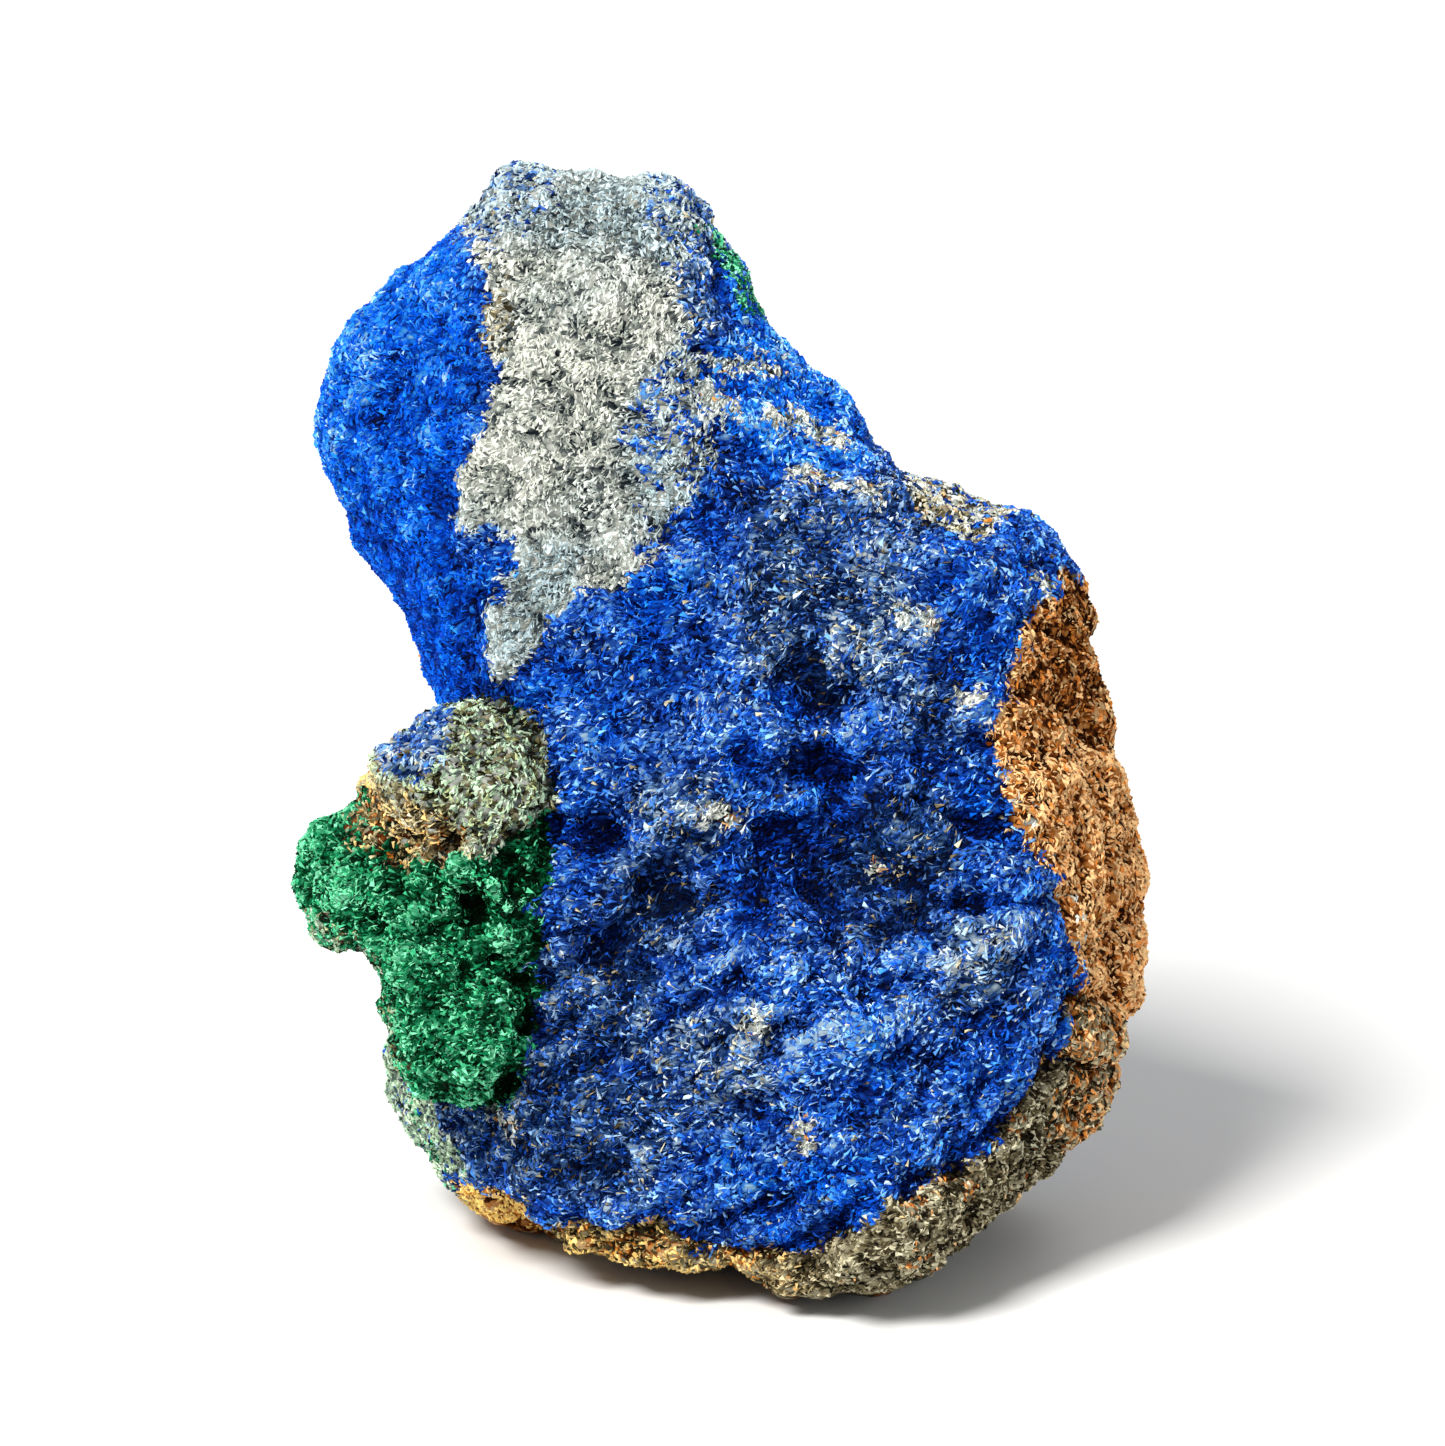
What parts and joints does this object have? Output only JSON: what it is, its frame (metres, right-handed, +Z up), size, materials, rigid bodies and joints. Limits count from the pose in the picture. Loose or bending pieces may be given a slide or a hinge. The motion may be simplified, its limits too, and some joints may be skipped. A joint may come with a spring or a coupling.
{
  "type": "azurite and malachite specimen",
  "caption": "Rough hand-size lump of azurite with a malachite nodule, a limonite flank and a pale matrix streak, standing on a flat broken base.",
  "frame": {"origin": "under the middle of the stone's box, on the plane that it rests on", "axes": "+Z up, with the pitted main face towards -Y and the malachite nodule towards -X"},
  "size_m": [0.0462, 0.0384, 0.0569],
  "materials": {
    "azurite": "rough",
    "malachite": "rough",
    "limonite": "rough"
  },
  "bodies": {
    "root": {"stone": "azurite"}
  },
  "joints": []
}
